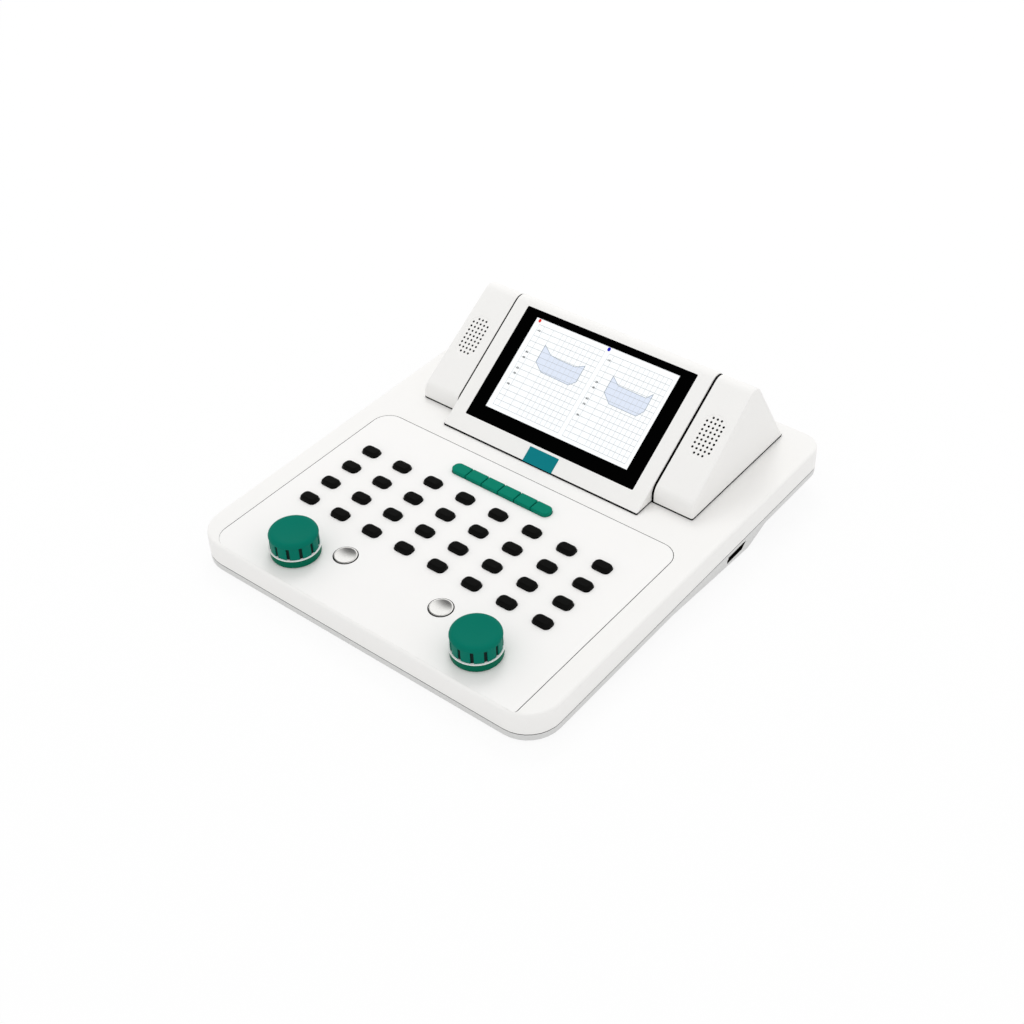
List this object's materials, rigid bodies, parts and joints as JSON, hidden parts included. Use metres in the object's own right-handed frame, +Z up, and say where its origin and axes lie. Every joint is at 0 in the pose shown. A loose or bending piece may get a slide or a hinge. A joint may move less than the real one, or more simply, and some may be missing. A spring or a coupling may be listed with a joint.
{
  "type": "desktop audiometer",
  "caption": "Desktop hearing tester: tilted white case with a black key field, teal function keys, level knobs, tone buttons and a raised screen between loudspeaker pods.",
  "frame": {"origin": "on the surface that the feet stand on, under the centre of the whole object's box", "axes": "+X to the user's right, +Y from the user's edge to the back, +Z up"},
  "size_m": [0.355, 0.4086, 0.1197],
  "materials": {
    "case_white": "satin moulded ABS",
    "case_grey_white": "satin moulded ABS",
    "panel_white": "fine matt film over a moulded plate",
    "key_black": "satin",
    "teal_key": "satin",
    "teal_knob": "satin",
    "button_steel": "turned and brushed",
    "screen_glass": "clear cover with a black printed border",
    "display_frame": "plain",
    "silicone_mat": "matt",
    "circuit_board": "solder mask",
    "encoder_metal": "plain",
    "speaker_black": "matt",
    "foot_rubber": "matt",
    "zinc_screw": "zinc plated",
    "socket_black": "satin"
  },
  "bodies": {
    "case": {"top_shell": "case_white", "bottom_shell": "case_grey_white", "control_panel": "panel_white", "display_housing": "case_white", "display_rear_cover": "case_white", "speaker_pod_left": "case_white", "speaker_pod_right": "case_white", "display_glass": "screen_glass", "lcd_module": "display_frame", "key_mat": "silicone_mat", "key_board": "circuit_board", "main_board": "circuit_board", "rotary_encoders": "encoder_metal", "loudspeakers": "speaker_black", "rubber_feet": "foot_rubber", "case_screws": "zinc_screw", "audio_sockets": "socket_black", "side_socket": "socket_black"},
    "key_r1_c1": {"key_r1_c1": "key_black"},
    "key_r1_c2": {"key_r1_c2": "key_black"},
    "key_r1_c3": {"key_r1_c3": "key_black"},
    "key_r1_c4": {"key_r1_c4": "key_black"},
    "key_r1_c5": {"key_r1_c5": "key_black"},
    "key_r1_c6": {"key_r1_c6": "key_black"},
    "key_r1_c7": {"key_r1_c7": "key_black"},
    "key_r1_c8": {"key_r1_c8": "key_black"},
    "key_r2_c1": {"key_r2_c1": "key_black"},
    "key_r2_c2": {"key_r2_c2": "key_black"},
    "key_r2_c3": {"key_r2_c3": "key_black"},
    "key_r2_c4": {"key_r2_c4": "key_black"},
    "key_r2_c5": {"key_r2_c5": "key_black"},
    "key_r2_c6": {"key_r2_c6": "key_black"},
    "key_r2_c7": {"key_r2_c7": "key_black"},
    "key_r2_c8": {"key_r2_c8": "key_black"},
    "key_r3_c1": {"key_r3_c1": "key_black"},
    "key_r3_c2": {"key_r3_c2": "key_black"},
    "key_r3_c3": {"key_r3_c3": "key_black"},
    "key_r3_c4": {"key_r3_c4": "key_black"},
    "key_r3_c5": {"key_r3_c5": "key_black"},
    "key_r3_c6": {"key_r3_c6": "key_black"},
    "key_r3_c7": {"key_r3_c7": "key_black"},
    "key_r3_c8": {"key_r3_c8": "key_black"},
    "key_r4_c1": {"key_r4_c1": "key_black"},
    "key_r4_c2": {"key_r4_c2": "key_black"},
    "key_r4_c3": {"key_r4_c3": "key_black"},
    "key_r4_c4": {"key_r4_c4": "key_black"},
    "key_r4_c5": {"key_r4_c5": "key_black"},
    "key_r4_c6": {"key_r4_c6": "key_black"},
    "key_r4_c7": {"key_r4_c7": "key_black"},
    "key_r4_c8": {"key_r4_c8": "key_black"},
    "function_key_1": {"function_key_1": "teal_key"},
    "function_key_2": {"function_key_2": "teal_key"},
    "function_key_3": {"function_key_3": "teal_key"},
    "function_key_4": {"function_key_4": "teal_key"},
    "function_key_5": {"function_key_5": "teal_key"},
    "function_key_6": {"function_key_6": "teal_key"},
    "tone_button_left": {"tone_button_left": "button_steel"},
    "tone_button_right": {"tone_button_right": "button_steel"},
    "knob_left": {"knob_left": "teal_knob"},
    "knob_right": {"knob_right": "teal_knob"}
  },
  "joints": [
    {"name": "key_r1_c1_press", "type": "slide", "parent": "case", "child": "key_r1_c1", "axis": [0, 0.0436, -0.999], "range_m": [0, 0.0015], "stiffness_N_per_m": 800},
    {"name": "key_r1_c2_press", "type": "slide", "parent": "case", "child": "key_r1_c2", "axis": [0, 0.0436, -0.999], "range_m": [0, 0.0015], "stiffness_N_per_m": 800},
    {"name": "key_r1_c3_press", "type": "slide", "parent": "case", "child": "key_r1_c3", "axis": [0, 0.0436, -0.999], "range_m": [0, 0.0015], "stiffness_N_per_m": 800},
    {"name": "key_r1_c4_press", "type": "slide", "parent": "case", "child": "key_r1_c4", "axis": [0, 0.0436, -0.999], "range_m": [0, 0.0015], "stiffness_N_per_m": 800},
    {"name": "key_r1_c5_press", "type": "slide", "parent": "case", "child": "key_r1_c5", "axis": [0, 0.0436, -0.999], "range_m": [0, 0.0015], "stiffness_N_per_m": 800},
    {"name": "key_r1_c6_press", "type": "slide", "parent": "case", "child": "key_r1_c6", "axis": [0, 0.0436, -0.999], "range_m": [0, 0.0015], "stiffness_N_per_m": 800},
    {"name": "key_r1_c7_press", "type": "slide", "parent": "case", "child": "key_r1_c7", "axis": [0, 0.0436, -0.999], "range_m": [0, 0.0015], "stiffness_N_per_m": 800},
    {"name": "key_r1_c8_press", "type": "slide", "parent": "case", "child": "key_r1_c8", "axis": [0, 0.0436, -0.999], "range_m": [0, 0.0015], "stiffness_N_per_m": 800},
    {"name": "key_r2_c1_press", "type": "slide", "parent": "case", "child": "key_r2_c1", "axis": [0, 0.0436, -0.999], "range_m": [0, 0.0015], "stiffness_N_per_m": 800},
    {"name": "key_r2_c2_press", "type": "slide", "parent": "case", "child": "key_r2_c2", "axis": [0, 0.0436, -0.999], "range_m": [0, 0.0015], "stiffness_N_per_m": 800},
    {"name": "key_r2_c3_press", "type": "slide", "parent": "case", "child": "key_r2_c3", "axis": [0, 0.0436, -0.999], "range_m": [0, 0.0015], "stiffness_N_per_m": 800},
    {"name": "key_r2_c4_press", "type": "slide", "parent": "case", "child": "key_r2_c4", "axis": [0, 0.0436, -0.999], "range_m": [0, 0.0015], "stiffness_N_per_m": 800},
    {"name": "key_r2_c5_press", "type": "slide", "parent": "case", "child": "key_r2_c5", "axis": [0, 0.0436, -0.999], "range_m": [0, 0.0015], "stiffness_N_per_m": 800},
    {"name": "key_r2_c6_press", "type": "slide", "parent": "case", "child": "key_r2_c6", "axis": [0, 0.0436, -0.999], "range_m": [0, 0.0015], "stiffness_N_per_m": 800},
    {"name": "key_r2_c7_press", "type": "slide", "parent": "case", "child": "key_r2_c7", "axis": [0, 0.0436, -0.999], "range_m": [0, 0.0015], "stiffness_N_per_m": 800},
    {"name": "key_r2_c8_press", "type": "slide", "parent": "case", "child": "key_r2_c8", "axis": [0, 0.0436, -0.999], "range_m": [0, 0.0015], "stiffness_N_per_m": 800},
    {"name": "key_r3_c1_press", "type": "slide", "parent": "case", "child": "key_r3_c1", "axis": [0, 0.0436, -0.999], "range_m": [0, 0.0015], "stiffness_N_per_m": 800},
    {"name": "key_r3_c2_press", "type": "slide", "parent": "case", "child": "key_r3_c2", "axis": [0, 0.0436, -0.999], "range_m": [0, 0.0015], "stiffness_N_per_m": 800},
    {"name": "key_r3_c3_press", "type": "slide", "parent": "case", "child": "key_r3_c3", "axis": [0, 0.0436, -0.999], "range_m": [0, 0.0015], "stiffness_N_per_m": 800},
    {"name": "key_r3_c4_press", "type": "slide", "parent": "case", "child": "key_r3_c4", "axis": [0, 0.0436, -0.999], "range_m": [0, 0.0015], "stiffness_N_per_m": 800},
    {"name": "key_r3_c5_press", "type": "slide", "parent": "case", "child": "key_r3_c5", "axis": [0, 0.0436, -0.999], "range_m": [0, 0.0015], "stiffness_N_per_m": 800},
    {"name": "key_r3_c6_press", "type": "slide", "parent": "case", "child": "key_r3_c6", "axis": [0, 0.0436, -0.999], "range_m": [0, 0.0015], "stiffness_N_per_m": 800},
    {"name": "key_r3_c7_press", "type": "slide", "parent": "case", "child": "key_r3_c7", "axis": [0, 0.0436, -0.999], "range_m": [0, 0.0015], "stiffness_N_per_m": 800},
    {"name": "key_r3_c8_press", "type": "slide", "parent": "case", "child": "key_r3_c8", "axis": [0, 0.0436, -0.999], "range_m": [0, 0.0015], "stiffness_N_per_m": 800},
    {"name": "key_r4_c1_press", "type": "slide", "parent": "case", "child": "key_r4_c1", "axis": [0, 0.0436, -0.999], "range_m": [0, 0.0015], "stiffness_N_per_m": 800},
    {"name": "key_r4_c2_press", "type": "slide", "parent": "case", "child": "key_r4_c2", "axis": [0, 0.0436, -0.999], "range_m": [0, 0.0015], "stiffness_N_per_m": 800},
    {"name": "key_r4_c3_press", "type": "slide", "parent": "case", "child": "key_r4_c3", "axis": [0, 0.0436, -0.999], "range_m": [0, 0.0015], "stiffness_N_per_m": 800},
    {"name": "key_r4_c4_press", "type": "slide", "parent": "case", "child": "key_r4_c4", "axis": [0, 0.0436, -0.999], "range_m": [0, 0.0015], "stiffness_N_per_m": 800},
    {"name": "key_r4_c5_press", "type": "slide", "parent": "case", "child": "key_r4_c5", "axis": [0, 0.0436, -0.999], "range_m": [0, 0.0015], "stiffness_N_per_m": 800},
    {"name": "key_r4_c6_press", "type": "slide", "parent": "case", "child": "key_r4_c6", "axis": [0, 0.0436, -0.999], "range_m": [0, 0.0015], "stiffness_N_per_m": 800},
    {"name": "key_r4_c7_press", "type": "slide", "parent": "case", "child": "key_r4_c7", "axis": [0, 0.0436, -0.999], "range_m": [0, 0.0015], "stiffness_N_per_m": 800},
    {"name": "key_r4_c8_press", "type": "slide", "parent": "case", "child": "key_r4_c8", "axis": [0, 0.0436, -0.999], "range_m": [0, 0.0015], "stiffness_N_per_m": 800},
    {"name": "function_key_1_press", "type": "slide", "parent": "case", "child": "function_key_1", "axis": [0, 0.0436, -0.999], "range_m": [0, 0.0015], "stiffness_N_per_m": 800},
    {"name": "function_key_2_press", "type": "slide", "parent": "case", "child": "function_key_2", "axis": [0, 0.0436, -0.999], "range_m": [0, 0.0015], "stiffness_N_per_m": 800},
    {"name": "function_key_3_press", "type": "slide", "parent": "case", "child": "function_key_3", "axis": [0, 0.0436, -0.999], "range_m": [0, 0.0015], "stiffness_N_per_m": 800},
    {"name": "function_key_4_press", "type": "slide", "parent": "case", "child": "function_key_4", "axis": [0, 0.0436, -0.999], "range_m": [0, 0.0015], "stiffness_N_per_m": 800},
    {"name": "function_key_5_press", "type": "slide", "parent": "case", "child": "function_key_5", "axis": [0, 0.0436, -0.999], "range_m": [0, 0.0015], "stiffness_N_per_m": 800},
    {"name": "function_key_6_press", "type": "slide", "parent": "case", "child": "function_key_6", "axis": [0, 0.0436, -0.999], "range_m": [0, 0.0015], "stiffness_N_per_m": 800},
    {"name": "tone_button_left_press", "type": "slide", "parent": "case", "child": "tone_button_left", "axis": [0, 0.0436, -0.999], "range_m": [0, 0.0015], "stiffness_N_per_m": 1500},
    {"name": "tone_button_right_press", "type": "slide", "parent": "case", "child": "tone_button_right", "axis": [0, 0.0436, -0.999], "range_m": [0, 0.0015], "stiffness_N_per_m": 1500},
    {"name": "knob_left_turn", "type": "hinge", "parent": "case", "child": "knob_left", "pos_m": [-0.0904, -0.1712, 0.03084], "axis": [0, -0.0436, 0.999], "continuous": true},
    {"name": "knob_right_turn", "type": "hinge", "parent": "case", "child": "knob_right", "pos_m": [0.0974, -0.1712, 0.03084], "axis": [0, -0.0436, 0.999], "continuous": true}
  ]
}
